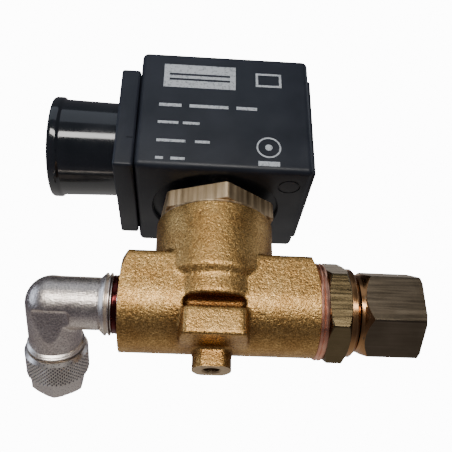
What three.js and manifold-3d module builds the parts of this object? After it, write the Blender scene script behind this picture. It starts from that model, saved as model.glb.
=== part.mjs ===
// A pilot-operated solenoid valve with a coil, a push-on hose elbow and a compression fitting.
// Millimetres. The origin is where the port axis (X) meets the plunger axis (Z). The front is -Y.

import * as THREE from 'three';
import { mergeVertices } from 'three/addons/utils/BufferGeometryUtils.js';
import Module from 'manifold-3d';

const wasm = await Module();
wasm.setup();

// ---------------------------------------------------------------- driving dimensions

const gap = 0.3;
const threadRadius = 8.3;

const coil = { width: 48, depth: 42.2, height: 39.7, bottom: 30.6, offsetX: 1.3, offsetY: 0.3 };
Object.assign(coil, { wall: 2.6, corner: 2.2 });
const coilPanel = { proud: 0.8, back: 17, top: 64.3, recess: 17.9, recessDepth: 1.2 };
coil.top = coil.bottom + coil.height;
coil.left = coil.offsetX - coil.width / 2;
coil.right = coil.offsetX + coil.width / 2;
coil.front = coil.offsetY - coil.depth / 2;

const body = { left: -24.1, right: 26.8, halfDepth: 12.5, top: 10.8, corner: 1.5 };
const bodyFace = { radius: 12.8, outer: 17.5 };
const pad = { width: 15.8, depth: 16, centreY: -5.8, bottom: -12.2, top: -4.8, corner: 1.5 };
const turretRoot = { radius: 11.8, neckLow: -1.1, neckHigh: 3.6 };
const turret = { radius: 16.25, top: 23.5, bottom: 5.6, neckRadius: 14.8 };
const chamber = { radius: 10, floor: 3.5, top: 14.7 };
const seat = { bore: 5, rim: 6.4, top: 5.2 };
const passage = { radius: 4, z: -2.2 };
const boss = { radius: 5.1, halfDepth: 4.2, bottom: -17.15, hole: 2.15, depth: 9 };

const bonnet = { acrossFlats: 30, top: 29.35, bore: 7.3, spigot: 13, phase: 8.2, washerFace: 15.9 };
const tube = { outer: 7, inner: 6.4, bottom: 15, flange: 1.5, top: 60 };
const core = { radius: 6.1, bottom: 46.3, head: 7, shoulder: 69.9, stud: 5, top: 78.2 };
const plunger = { radius: 6.1, bottom: 17.5, top: 42, pocket: 3.6, pocketDepth: 10 };
const piston = { radius: 9.7, bottom: 6, top: 11.5, nose: 3.5, noseTop: 16.5, pilot: 0.9 };

const connector = { thickness: 5.1, depth: 36.7, height: 32.8, corner: 1.2 };
Object.assign(connector, { radius: 13.7, mouth: 14.1, rim: 14.75, inner: 12, seat: 10.2 });
connector.right = coil.left - gap;
connector.left = connector.right - connector.thickness;
connector.centreY = coil.front + connector.depth / 2;
connector.tubeZ = 49.2;
connector.tubeY = -0.8;
connector.end = -47.9;

const elbow = { barrel: 7, barrelEnd: -29.5, leg: 7.15, cornerX: -42.2, tilt: 60, bore: 2.6 };
Object.assign(elbow, { collar: 7.7, legEnd: 14, stem: 3.9, stemEnd: 19.5, flat: 6.1 });
const thread = { valley: 7.5, crests: [-28.1, -26.95], halfCrest: 0.15, toValley: 0.57 };
const relief = { radius: 7.2, left: -26.5, right: -24.7 };
const hoseNut = { radius: 8.6, start: 14.5, knurlEnd: 22.7, end: 27.7 };
Object.assign(hoseNut, { bore: 5.1, acrossFlats: 13.6, face: 6.9, liner: 7.1, linerEnd: 20.5 });

const washer = { left: 27.1, right: 28.8, radius: 13, inner: 8.7 };
const adaptor = { hexLeft: 29.1, hexRight: 34.9, acrossFlats: 24, phase: -23.5 };
Object.assign(adaptor, { collar: 11.8, collarEnd: 37.1, chamfer: 0.8 });
const unionNut = { left: 37.5, right: 54.3, acrossFlats: 21.2, phase: 29, bore: 6.3 };
Object.assign(unionNut, { skirt: 10.4, skirtChamfer: 0.6, hexLeft: 38.6 });

// ---------------------------------------------------------------- solids

function solid(geometry) {
  const bare = geometry.clone();
  bare.deleteAttribute('normal');
  bare.deleteAttribute('uv');
  const merged = mergeVertices(bare, 1e-4);
  const corners = [];
  for (let i = 0; i < merged.index.count; i += 3) {
    const triangle = [0, 1, 2].map((k) => merged.index.getX(i + k));
    if (new Set(triangle).size === 3) corners.push(...triangle);
  }
  return new wasm.Manifold(new wasm.Mesh({
    numProp: 3,
    vertProperties: new Float32Array(merged.attributes.position.array),
    triVerts: new Uint32Array(corners),
  }));
}

function toGeometry(shape) {
  const mesh = shape.getMesh();
  const geometry = new THREE.BufferGeometry();
  geometry.setAttribute('position', new THREE.BufferAttribute(mesh.vertProperties, 3));
  geometry.setIndex(new THREE.BufferAttribute(mesh.triVerts, 1));
  geometry.computeVertexNormals();
  return geometry;
}

const join = (first, ...others) => others.reduce((sum, next) => sum.add(next), first);
const cut = (first, ...others) => others.reduce((sum, next) => sum.subtract(next), first);

// A turned solid from [radius, height] points. It starts and ends on the axis, or closes on itself.
function turned(profile, segments = 28) {
  const points = profile.map(([radius, height]) => new THREE.Vector2(radius, height));
  const onAxis = profile[0][0] === 0;
  if (!onAxis) points.push(points[0].clone());
  return new THREE.LatheGeometry(points, segments);
}

const aboutZ = (profile, segments) => solid(turned(profile, segments).rotateX(Math.PI / 2));
const aboutX = (profile, segments) => solid(turned(profile, segments).rotateZ(-Math.PI / 2));

const rod = (radius, low, high) => [[0, low], [radius, low], [radius, high], [0, high]];
const ring = (inner, outer, low, high) => [[inner, low], [outer, low], [outer, high], [inner, high]];

function box(x, y, z) {
  const geometry = new THREE.BoxGeometry(x[1] - x[0], y[1] - y[0], z[1] - z[0]);
  return geometry.translate((x[0] + x[1]) / 2, (y[0] + y[1]) / 2, (z[0] + z[1]) / 2);
}

const block = (x, y, z) => solid(box(x, y, z));

function roundedRectangle(width, height, radius) {
  const [x, y] = [width / 2, height / 2];
  const shape = new THREE.Shape();
  shape.moveTo(-x + radius, -y);
  shape.lineTo(x - radius, -y);
  shape.absarc(x - radius, -y + radius, radius, -Math.PI / 2, 0);
  shape.lineTo(x, y - radius);
  shape.absarc(x - radius, y - radius, radius, 0, Math.PI / 2);
  shape.lineTo(-x + radius, y);
  shape.absarc(-x + radius, y - radius, radius, Math.PI / 2, Math.PI);
  shape.lineTo(-x, -y + radius);
  shape.absarc(-x + radius, -y + radius, radius, Math.PI, 1.5 * Math.PI);
  return shape;
}

const drawnToX = new THREE.Matrix4().makeBasis(
  new THREE.Vector3(0, 1, 0), new THREE.Vector3(0, 0, 1), new THREE.Vector3(1, 0, 0),
);

// A shape drawn in Y and Z, pushed along X.
function prismX(shape, low, high, curveSegments = 6) {
  const geometry = new THREE.ExtrudeGeometry(shape, {
    depth: high - low, bevelEnabled: false, curveSegments,
  });
  return geometry.applyMatrix4(drawnToX).translate(low, 0, 0);
}

// A shape drawn in X and Y, pushed along Z, with its two end edges rounded by edge.
function prismZ(shape, low, high, edge = 0, curveSegments = 4) {
  const geometry = new THREE.ExtrudeGeometry(shape, {
    depth: high - low - 2 * edge, bevelEnabled: edge > 0, bevelSize: edge, bevelThickness: edge,
    bevelOffset: -edge, bevelSegments: 2, curveSegments,
  });
  return geometry.translate(0, 0, low + edge);
}

// A hexagonal bar along Z whose end faces are turned down to the given radii by 30 degree chamfers.
function hexBar(acrossFlats, low, high, phase, lowFace, highFace) {
  const corner = acrossFlats / Math.sqrt(3);
  const bar = new THREE.CylinderGeometry(corner, corner, high - low + 2, 6).rotateX(Math.PI / 2);
  bar.rotateZ(THREE.MathUtils.degToRad(phase)).translate(0, 0, (low + high) / 2);
  const outer = corner + 0.2;
  const slope = Math.tan(Math.PI / 6);
  return solid(bar).intersect(aboutZ([
    [0, low], [lowFace, low], [outer, low + (outer - lowFace) * slope],
    [outer, high - (outer - highFace) * slope], [highFace, high], [0, high],
  ]));
}

const turnToX = (shape) => shape.rotate([0, 90, 0]);

// A ground-ended coil spring about Z.
function spring(meanRadius, wire, low, high, turns) {
  class Helix extends THREE.Curve {
    getPoint(t) {
      const angle = t * turns * 2 * Math.PI;
      const height = low + wire + t * (high - low - 2 * wire);
      return new THREE.Vector3(meanRadius * Math.cos(angle), meanRadius * Math.sin(angle), height);
    }
  }
  const section = new THREE.Shape().absarc(0, 0, wire, 0, 2 * Math.PI);
  return solid(new THREE.ExtrudeGeometry(section, {
    extrudePath: new Helix(), steps: turns * 10, bevelEnabled: false, curveSegments: 3,
  }));
}

// ---------------------------------------------------------------- materials

const finish = (color, roughness, metalness) => () => (
  new THREE.MeshStandardMaterial({ color, roughness, metalness })
);
const castBrass = finish(0xb3894f, 0.55, 0.9);
const machinedBrass = finish(0x9c8259, 0.35, 1);
const darkBrass = finish(0x5a4d36, 0.3, 1);
const nickel = finish(0xa29c97, 0.4, 1);
const copper = finish(0x96604d, 0.35, 1);
const steel = finish(0xb9bcc0, 0.3, 1);
const mattBlack = finish(0x2b2f36, 0.7, 0);
const glossBlack = finish(0x1a1f24, 0.2, 0);
const seal = finish(0x222222, 0.8, 0);
const whitePlastic = finish(0xe6e2d8, 0.5, 0);

const valve = new THREE.Group();

function part(name, shape, material, group = valve) {
  const mesh = new THREE.Mesh(toGeometry(shape), material());
  mesh.name = name;
  group.add(mesh);
  return mesh;
}

// ---------------------------------------------------------------- cast body

function bodySection() {
  const { halfDepth: side, top, corner } = body;
  const shape = new THREE.Shape();
  shape.moveTo(side, 0);
  shape.lineTo(side, top - corner);
  shape.absarc(side - corner, top - corner, corner, 0, Math.PI / 2);
  shape.lineTo(-side + corner, top);
  shape.absarc(-side + corner, top - corner, corner, Math.PI / 2, Math.PI);
  shape.lineTo(-side, 0);
  shape.absarc(0, 0, side, Math.PI, 2 * Math.PI);
  return shape;
}

function valveBody() {
  const { left, right } = body;
  const { radius: faceRadius, outer } = bodyFace;
  const run = (outer - faceRadius) * Math.tan(Math.PI / 6);
  const facing = aboutX([
    [0, left], [faceRadius, left], [outer, left + run],
    [outer, right - run], [faceRadius, right], [0, right],
  ], 36);
  const bar = solid(prismX(bodySection(), left - 1, right + 1, 8)).intersect(facing);
  const column = aboutZ([
    [0, pad.top], [turretRoot.radius, pad.top], [turret.neckRadius, turretRoot.neckLow],
    [turret.neckRadius, turretRoot.neckHigh],
    [turret.radius, turret.bottom], [turret.radius, turret.top], [0, turret.top],
  ], 36);
  const plinth = solid(prismZ(roundedRectangle(pad.width, pad.depth, pad.corner), pad.bottom, pad.top));
  const foot = aboutZ(rod(boss.radius, boss.bottom, 0), 24).intersect(
    block([-6, 6], [-boss.halfDepth, boss.halfDepth], [boss.bottom - 1, 1]),
  );
  const outside = join(bar, column, plinth.translate(0, pad.centreY, 0), foot);
  const boreRadius = threadRadius + gap;
  return cut(
    outside,
    aboutZ(rod(13 + gap, chamber.top, turret.top + 1), 32),
    aboutZ(ring(11.05, 12.95, chamber.top - 1.55, chamber.top + 1), 32),
    cut(
      aboutZ(rod(chamber.radius, chamber.floor, chamber.top + 1), 32),
      aboutZ(rod(seat.rim, chamber.floor - 1, seat.top), 24),
    ),
    aboutZ(rod(seat.bore, -6.3, seat.top + 1), 20),
    aboutX(rod(boreRadius, left - 2, -12), 28),
    aboutX(rod(passage.radius, -13, -7.5), 24).translate(0, 0, passage.z),
    block([-9.7, -6.9], [-3, 3], [passage.z, chamber.floor + 0.5]),
    aboutX(rod(boreRadius, 14, right + 2), 28),
    aboutX(rod(passage.radius, 0, 15), 24).translate(0, 0, passage.z),
    aboutZ(rod(boss.hole, boss.bottom - 1, boss.bottom + boss.depth), 20),
  );
}

part('valve_body', valveBody(), castBrass);

// ---------------------------------------------------------------- bonnet, tube and fixed core

const bonnetHex = hexBar(bonnet.acrossFlats, turret.top + 0.8, bonnet.top, bonnet.phase, 17, 16.9);
const bonnetOutside = join(
  bonnetHex,
  aboutZ(rod(bonnet.washerFace, turret.top + gap, turret.top + 1.2), 36),
  aboutZ(rod(bonnet.spigot, tube.bottom + tube.flange + gap, turret.top + 1), 32),
);
part('bonnet_nut', cut(bonnetOutside, aboutZ(rod(bonnet.bore, 0, 32), 24)), machinedBrass);

const ringSeal = (major, minor) => turned(
  Array.from({ length: 8 }, (_, i) => {
    const angle = (i / 8) * 2 * Math.PI;
    return [major + minor * Math.cos(angle), minor * Math.sin(angle)];
  }), 28,
).rotateX(Math.PI / 2);
part('bonnet_seal', solid(ringSeal(12, 0.65)).translate(0, 0, chamber.top - 0.8), seal);

part('enclosing_tube', aboutZ([
  [tube.inner, tube.bottom], [bonnet.spigot, tube.bottom], [bonnet.spigot, tube.bottom + tube.flange],
  [tube.outer, tube.bottom + tube.flange], [tube.outer, tube.top], [tube.inner, tube.top],
], 20), steel);

part('fixed_core', aboutZ([
  [0, core.bottom], [core.radius, core.bottom], [core.radius, tube.top + gap], [core.head, tube.top + gap],
  [core.head, core.shoulder], [core.stud, core.shoulder], [core.stud, core.top - 0.6],
  [core.stud - 0.6, core.top], [0, core.top],
], 20), steel);

// ---------------------------------------------------------------- plunger and piston

const plungerBar = aboutZ(rod(plunger.radius, plunger.bottom, plunger.top), 24);
part('plunger', cut(
  plungerBar,
  aboutZ(rod(plunger.pocket, plunger.top - plunger.pocketDepth, plunger.top + 1), 24),
  aboutZ(rod(3.5, plunger.bottom - 1, plunger.bottom + 1.6), 24),
  block([-0.6, 0.6], [plunger.radius - 0.8, 8], [10, 50]),
  block([-0.6, 0.6], [-8, 0.8 - plunger.radius], [10, 50]),
), steel);
part('plunger_seal', aboutZ(rod(3.2, plunger.bottom - 0.7, plunger.bottom + 1.3), 24), seal);
const springLow = plunger.top - plunger.pocketDepth + gap;
part('plunger_spring', spring(2.7, 0.4, springLow, core.bottom - gap, 6), steel);

const pistonBar = aboutZ([
  [0, piston.bottom], [piston.radius, piston.bottom], [piston.radius, 8.6], [8.9, 8.6], [8.9, 10.2],
  [piston.radius, 10.2], [piston.radius, piston.top], [piston.nose, piston.top],
  [piston.nose - 1, piston.noseTop], [0, piston.noseTop],
], 32);
part('piston', cut(
  pistonBar,
  aboutZ(rod(7.1, piston.bottom - 1, 7.4), 24),
  aboutZ(ring(6.5, 8.3, 8.6, piston.top + 1), 24),
  aboutZ(rod(piston.pilot, 0, 20), 12),
), machinedBrass);
part('piston_ring', aboutZ(ring(9.15, 9.75, 8.85, 9.95), 32), whitePlastic);
part('piston_seal', aboutZ(ring(1.6, 6.8, seat.top + gap, 7.1), 24), seal);
part('piston_spring', spring(7.4, 0.4, 8.9, tube.bottom - gap, 3), steel);

// ---------------------------------------------------------------- coil

const coilOutline = (inset, corner) => (
  roundedRectangle(coil.width - 2 * inset, coil.depth - 2 * inset, corner)
);

function coilCase() {
  const outside = solid(prismZ(coilOutline(0, coil.corner), coil.bottom, coil.top, 1));
  const panel = block(
    [coil.right - 3, coil.right + coilPanel.proud], [coil.front + 2, coilPanel.back],
    [coil.bottom + 1, coilPanel.top],
  );
  const inside = solid(prismZ(coilOutline(coil.wall, 1), coil.bottom + coil.wall + 0.6, coil.top + 1));
  return cut(
    join(outside.translate(coil.offsetX, coil.offsetY, 0), panel),
    inside.translate(coil.offsetX, coil.offsetY, 0),
    aboutZ(rod(coilPanel.recess, coil.bottom - 1, coil.bottom + coilPanel.recessDepth), 36),
    aboutZ(rod(bonnet.bore, 0, 80), 28),
  );
}

part('coil_case', coilCase(), mattBlack);
const lidSlab = solid(prismZ(coilOutline(coil.wall + gap, 0.9), coil.top - 2.6, coil.top - 0.1));
part('coil_lid', cut(
  lidSlab.translate(coil.offsetX, coil.offsetY, 0),
  aboutZ(rod(bonnet.bore, 0, 80), 28),
), mattBlack);

const bobbin = { low: 36.2, high: 64.4, flange: 15.4, hub: 8.3 };
part('bobbin', aboutZ([
  [bonnet.bore, bobbin.low], [bobbin.flange, bobbin.low], [bobbin.flange, bobbin.low + 1.2],
  [bobbin.hub, bobbin.low + 1.2], [bobbin.hub, bobbin.high - 1.2], [bobbin.flange, bobbin.high - 1.2],
  [bobbin.flange, bobbin.high], [bonnet.bore, bobbin.high],
], 20), whitePlastic);
part('winding', aboutZ(ring(bobbin.hub + gap, 14.8, bobbin.low + 1.5, bobbin.high - 1.5), 20), copper);

const yokeHalf = 17.9;
part('yoke', cut(
  block([-13, 13], [-yokeHalf, yokeHalf], [34.1, 66.5]),
  block([-14, 14], [2 - yokeHalf, yokeHalf - 2], [35.9, 64.7]),
  aboutZ(rod(bonnet.bore, 0, 80), 28),
), steel);

part('coil_washer', aboutZ(ring(core.stud + gap, 11, coil.top + gap, coil.top + 1.8), 24), steel);
part('coil_nut', cut(
  hexBar(17, coil.top + 2.1, coil.top + 7.4, 0, 8.3, 8.3),
  aboutZ(rod(core.stud + gap, 60, 90), 24),
), steel);

// ---------------------------------------------------------------- connector on the coil's left side

function plateSection() {
  return roundedRectangle(connector.depth, connector.height, connector.corner);
}

const plateZ = coil.bottom + connector.height / 2 - 0.2;
const plate = solid(prismX(plateSection(), connector.left, connector.right, 3));
part('connector_base', cut(
  plate.translate(0, connector.centreY, plateZ),
  aboutX(rod(connector.seat, connector.left - 1, connector.left + 2), 24)
    .translate(0, connector.tubeY, connector.tubeZ),
), mattBlack);

const rimLeft = connector.end;
const shroudLow = connector.left - gap;
part('connector_shroud', aboutX([
  [connector.inner, rimLeft], [connector.rim - 0.6, rimLeft], [connector.rim, rimLeft + 0.6],
  [connector.rim, rimLeft + 2.6], [connector.mouth, rimLeft + 3.2], [connector.radius, shroudLow],
  [connector.inner - 1.2, shroudLow], [connector.inner - 0.6, shroudLow - 8],
], 32).translate(0, connector.tubeY, connector.tubeZ), glossBlack);

const blockFace = connector.left - 6;
part('terminal_block', cut(
  aboutX([
    [0, blockFace], [9.4, blockFace], [9.4, connector.left + 1.7], [0, connector.left + 1.7],
  ], 24).translate(0, connector.tubeY, connector.tubeZ),
  ...[-5, 0, 5].map((y, i) => block([blockFace - 1, connector.left + 1.2],
    [connector.tubeY + y - 0.75, connector.tubeY + y + 0.75],
    [connector.tubeZ - 3.5 + 3 * (i % 2), connector.tubeZ + 3.5 + 3 * (i % 2)])),
), mattBlack);

['terminal_supply', 'terminal_earth', 'terminal_return'].forEach((name, i) => {
  const y = connector.tubeY - 5 + 5 * i;
  const z = connector.tubeZ + 3 * (i % 2);
  const blade = block([blockFace - 5.5, connector.left + 0.9], [y - 0.4, y + 0.4], [z - 3.15, z + 3.15]);
  part(name, blade, steel);
});

// ---------------------------------------------------------------- elbow and push-on nut

function elbowFitting() {
  const barrel = aboutX(rod(elbow.barrel, elbow.cornerX, elbow.barrelEnd + 0.5), 24);
  const ridges = thread.crests.flatMap((x) => [
    [threadRadius, x - thread.halfCrest], [threadRadius, x + thread.halfCrest],
    [thread.valley, x + thread.toValley],
  ]).slice(0, -1);
  const shank = aboutX([
    [0, elbow.barrelEnd], [elbow.barrel, elbow.barrelEnd], ...ridges,
    [relief.radius, relief.left], [relief.radius, relief.right], [threadRadius, relief.right + gap],
    [threadRadius, -12.4], [0, -12.4],
  ], 24);
  const leg = aboutZ([
    [0, -elbow.stemEnd], [elbow.stem, -elbow.stemEnd], [elbow.stem, -18.2], [6.8, -18.2],
    [6.8, -elbow.legEnd],
    [elbow.collar, -elbow.legEnd], [elbow.collar, -12.6], [elbow.leg, -12.3], [elbow.leg, 0], [0, 0],
  ], 24);
  const heel = solid(new THREE.SphereGeometry(elbow.leg, 20, 12));
  const flat = block([-5.4, 5], [-9, -elbow.flat], [-7.9, 2.1]);
  const farFlat = block([-5.4, 5], [elbow.flat, 9], [-7.9, 2.1]);
  const legBore = aboutZ(rod(elbow.bore, -elbow.stemEnd - 1, 0), 20);
  const place = (shape) => shape.rotate([elbow.tilt, 0, 0]).translate(elbow.cornerX, 0, 0);
  return cut(
    join(barrel, shank, place(join(leg, heel))),
    place(flat), place(farFlat), place(legBore),
    aboutX(rod(elbow.bore, elbow.cornerX, 0), 20),
  );
}

part('elbow_fitting', elbowFitting(), nickel);
const sealantRing = ring(relief.radius + gap, 8, relief.left + 0.1, relief.right - 0.1);
part('thread_sealant', aboutX(sealantRing, 24), copper);

const leg = new THREE.Group();
leg.position.set(elbow.cornerX, 0, 0);
leg.rotation.set(THREE.MathUtils.degToRad(elbow.tilt), 0, 0);
valve.add(leg);

function knurledNut() {
  const { radius, start, knurlEnd, end, bore, acrossFlats, face, liner, linerEnd } = hoseNut;
  const sleeve = aboutZ([
    [0, -knurlEnd], [radius - 0.3, -knurlEnd], [radius, 0.3 - knurlEnd], [radius, -start - 1],
    [elbow.collar + 0.2, -start], [0, -start],
  ], 32);
  return cut(
    join(sleeve, hexBar(acrossFlats, -end, 0.5 - knurlEnd, 0, face, 8)),
    aboutZ(rod(liner, -linerEnd, 0), 28),
    aboutZ(rod(bore, -30, 0), 24),
  );
}

part('knurled_nut', knurledNut(), nickel, leg);

// ---------------------------------------------------------------- compression fitting on the right

part('sealing_washer', aboutX([
  [washer.inner, washer.left], [washer.radius - 0.5, washer.left], [washer.radius, washer.left + 0.5],
  [washer.radius, washer.right - 0.5], [washer.radius - 0.5, washer.right], [washer.inner, washer.right],
], 36), copper);

const nipple = { start: 14.4, radius: 8.4, end: 47.5, bore: 5, socket: 6.2, socketStart: 43 };

function studAdaptor() {
  const { hexLeft, hexRight, acrossFlats, phase, collar, collarEnd, chamfer } = adaptor;
  const hex = turnToX(hexBar(acrossFlats, hexLeft, hexRight, phase, 12.2, 12.1));
  const stem = aboutX([
    [0, nipple.start], [threadRadius, nipple.start], [threadRadius, hexRight - 1], [collar, hexRight - 1],
    [collar, collarEnd - chamfer], [collar - chamfer, collarEnd], [nipple.radius, collarEnd],
    [nipple.radius, nipple.end], [0, nipple.end],
  ], 28);
  return cut(
    join(hex, stem),
    aboutX(rod(nipple.bore, 0, 60), 20),
    aboutX([[0, nipple.socketStart], [nipple.socket, nipple.socketStart], [nipple.socket, 45.5],
      [7.4, nipple.end + 0.01], [7.4, 60], [0, 60]], 28),
  );
}

part('stud_adaptor', studAdaptor(), darkBrass);

part('cutting_ring', aboutX([
  [6.3, 47.2], [6.5, 46.9], [7, 48], [7.7, 48.6], [7.7, 50.2], [6.4, 51.1],
], 28), steel);

const { skirt, skirtChamfer } = unionNut;
part('union_nut', cut(
  join(
    turnToX(hexBar(unionNut.acrossFlats, unionNut.hexLeft, unionNut.right, unionNut.phase, 10.1, 11.4)),
    aboutX([
      [0, unionNut.left], [skirt - skirtChamfer, unionNut.left], [skirt, unionNut.left + skirtChamfer],
      [skirt, unionNut.hexLeft + 2], [0, unionNut.hexLeft + 2],
    ], 36),
  ),
  aboutX([
    [0, 30], [8.8, 30], [8.8, 49.5], [8.2, 50.8], [unionNut.bore, 51.8], [unionNut.bore, 60], [0, 60],
  ], 28),
), darkBrass);

export default valve;
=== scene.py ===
"""Looks of a solenoid valve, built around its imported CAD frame. Shapes are made in millimetres."""
import math

import bmesh
import bpy
from mathutils import Matrix, Quaternion, Vector, noise


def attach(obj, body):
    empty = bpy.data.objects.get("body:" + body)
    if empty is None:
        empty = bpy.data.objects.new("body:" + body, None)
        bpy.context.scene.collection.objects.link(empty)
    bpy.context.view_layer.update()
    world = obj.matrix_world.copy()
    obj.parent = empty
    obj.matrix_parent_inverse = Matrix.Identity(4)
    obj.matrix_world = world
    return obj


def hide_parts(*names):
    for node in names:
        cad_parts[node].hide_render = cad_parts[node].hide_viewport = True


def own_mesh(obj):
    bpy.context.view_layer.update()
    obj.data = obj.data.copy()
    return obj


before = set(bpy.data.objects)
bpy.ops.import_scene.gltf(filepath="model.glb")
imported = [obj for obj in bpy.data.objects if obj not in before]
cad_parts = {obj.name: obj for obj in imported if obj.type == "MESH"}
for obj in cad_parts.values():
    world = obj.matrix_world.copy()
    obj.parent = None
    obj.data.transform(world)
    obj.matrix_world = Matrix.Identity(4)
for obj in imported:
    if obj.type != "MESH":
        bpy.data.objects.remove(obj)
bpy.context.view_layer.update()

SCALE = 0.001
GAP = 0.3
TURN = 2 * math.pi
SCENE = bpy.context.scene
ABOUT_X = Matrix.Rotation(math.pi / 2, 4, "Y")

# ---------------------------------------------------------------- sizes, in millimetres, as in the CAD

COIL = {"width": 48.0, "front": -20.8, "back": 21.4, "low": 30.6, "high": 70.3, "x": 1.3, "wall": 2.6}
COIL["left"] = COIL["x"] - COIL["width"] / 2
COIL["right"] = COIL["x"] + COIL["width"] / 2
PLATE = {"right": COIL["left"], "front": -20.8, "back": 15.9, "low": 30.4, "high": 63.2}
PLATE["left"] = PLATE["right"] - 5.4
SHROUD = {"y": -0.8, "z": 49.2, "end": -47.9, "rim": 14.75, "mouth": 14.1, "root": 13.7}
BODY = {"left": -24.1, "right": 26.8, "side": 12.5, "top": 10.8, "face": 12.8}
TURRET = {"radius": 16.25, "top": 23.5, "neck": 14.8}
BOSS = {"low": -17.15, "radius": 5.1, "side": 4.2, "hole": 2.15}
ELBOW = {"x": -42.2, "barrel": 7.0, "leg": 7.15, "tilt": math.radians(60), "bore": 2.6}
THREAD = 8.3
CORE = {"radius": 6.1, "bottom": 46.3, "collar": 60.3, "head": 7, "shoulder": 69.9, "stud": 5.0, "top": 78.2}
PLUNGER = {"spring": 2.7, "seat": 32.3, "lift": 4.0, "turns": 6}
PISTON = {"spring": 7.4, "seat": 8.9, "stop": 14.7, "lift": 3.0, "turns": 3}
PORT = {"mouth": 9.1, "bore": THREAD + GAP, "way": 4, "way_z": -2.2}
AT_SHROUD = Matrix.Translation((0, SHROUD["y"], SHROUD["z"])) @ ABOUT_X
LEG = Matrix.Translation((ELBOW["x"], 0, 0)) @ Matrix.Rotation(ELBOW["tilt"], 4, "X")


# ---------------------------------------------------------------- mesh tools

def new_object(name, vertices, faces):
    mesh = bpy.data.meshes.new(name)
    mesh.from_pydata(vertices, [], faces)
    mesh.update()
    piece = bpy.data.objects.new(name, mesh)
    SCENE.collection.objects.link(piece)
    return piece


def arc(centre, radius, start, end, steps):
    """Points along an arc, with both ends. Angles are in radians."""
    angles = [start + (end - start) * i / steps for i in range(steps + 1)]
    return [(centre[0] + radius * math.cos(a), centre[1] + radius * math.sin(a)) for a in angles]


def prism(name, outline, ends, place):
    """A solid with the same outline at both ends. place turns an outline point and an end into a corner."""
    count = len(outline)
    vertices = [place(point, end) for end in ends for point in outline]
    faces = [[i, (i + 1) % count, count + (i + 1) % count, count + i] for i in range(count)]
    faces += [list(range(count)), list(range(count, 2 * count))]
    piece = new_object(name, vertices, faces)
    repair(piece)
    return piece


def revolve(name, rows, segments=96, matrix=None):
    """A closed solid about Z. A row is (radius, height), or a function of the angle that returns both.
    It starts and ends on the axis, or closes on itself."""
    vertices, rings = [], []
    for row in rows:
        if not callable(row) and row[0] == 0:
            rings.append([len(vertices)] * segments)
            vertices.append((0.0, 0.0, row[1]))
            continue
        rings.append(list(range(len(vertices), len(vertices) + segments)))
        for i in range(segments):
            angle = TURN * i / segments
            radius, height = row(angle) if callable(row) else row
            vertices.append((radius * math.cos(angle), radius * math.sin(angle), height))
    first_on_axis = rings[0][0] == rings[0][1]
    pairs = list(zip(rings, rings[1:]))
    if not first_on_axis:
        pairs.append((rings[-1], rings[0]))
    faces = []
    for low, high in pairs:
        for i in range(segments):
            j = (i + 1) % segments
            corners = []
            for c in (low[i], low[j], high[j], high[i]):
                if c not in corners:
                    corners.append(c)
            if len(corners) > 2:
                faces.append(corners)
    piece = new_object(name, vertices, faces)
    repair(piece)
    if matrix is not None:
        piece.data.transform(matrix)
    return piece


def repair(piece):
    """Welds a piece's doubled vertices and turns its faces outwards."""
    work = bmesh.new()
    work.from_mesh(piece.data)
    bmesh.ops.remove_doubles(work, verts=work.verts, dist=1e-5)
    bmesh.ops.recalc_face_normals(work, faces=work.faces)
    work.to_mesh(piece.data)
    work.free()


def bake(piece):
    """Applies the modifiers of a piece to its mesh."""
    shown = piece.evaluated_get(bpy.context.evaluated_depsgraph_get())
    mesh = bpy.data.meshes.new_from_object(shown)
    old = piece.data
    piece.modifiers.clear()
    piece.data = mesh
    bpy.data.meshes.remove(old)


def combine(target, other, operation):
    """Cuts, joins or crosses target with other, which is used up."""
    step = target.modifiers.new("combine", "BOOLEAN")
    step.operation = operation
    step.solver = "EXACT"
    step.object = other
    bpy.context.view_layer.update()
    bake(target)
    bpy.data.objects.remove(other)
    return target


def union(first, *others):
    for other in others:
        combine(first, other, "UNION")
    return first


def rounded_block(name, x, y, z, radius, segments=4):
    """A box with every edge rounded."""
    work = bmesh.new()
    bmesh.ops.create_cube(work, size=1)
    size = (x[1] - x[0], y[1] - y[0], z[1] - z[0])
    bmesh.ops.scale(work, vec=size, verts=work.verts)
    centre = ((x[0] + x[1]) / 2, (y[0] + y[1]) / 2, (z[0] + z[1]) / 2)
    bmesh.ops.translate(work, vec=centre, verts=work.verts)
    if radius:
        bmesh.ops.bevel(work, geom=work.edges[:], offset=radius, segments=segments, profile=0.5,
                        affect="EDGES", clamp_overlap=True)
    mesh = bpy.data.meshes.new(name)
    work.to_mesh(mesh)
    work.free()
    piece = bpy.data.objects.new(name, mesh)
    SCENE.collection.objects.link(piece)
    return piece


def rod(name, radius, low, high, segments=64, matrix=None):
    return revolve(name, [(0, low), (radius, low), (radius, high), (0, high)], segments, matrix)


def soften(piece, voxel, rounds):
    """Joins a piece's overlapping shells into one skin with soft edges, as casting leaves them."""
    remesh = piece.modifiers.new("skin", "REMESH")
    remesh.mode = "VOXEL"
    remesh.voxel_size = voxel
    smooth = piece.modifiers.new("soft", "SMOOTH")
    smooth.factor = 0.5
    smooth.iterations = rounds
    bpy.context.view_layer.update()
    bake(piece)


def merged(first, *others):
    """One object from several, their shells left as they are."""
    work = bmesh.new()
    for piece in (first, *others):
        work.from_mesh(piece.data)
    work.to_mesh(first.data)
    work.free()
    for piece in others:
        bpy.data.objects.remove(piece)
    return first


def hexagon(across_flats, phase):
    """The radius of a hexagon at an angle, its corners very slightly rounded."""
    start = math.radians(phase - 90)
    softness = 14.0

    def radius(angle):
        total = 0.0
        for k in range(6):
            side = math.cos(angle - start - math.radians(30 + 60 * k))
            if side > 0.05:
                total += math.exp(-softness * (across_flats / 2 / side - across_flats / 2))
        return across_flats / 2 - math.log(total) / softness
    return radius


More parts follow.
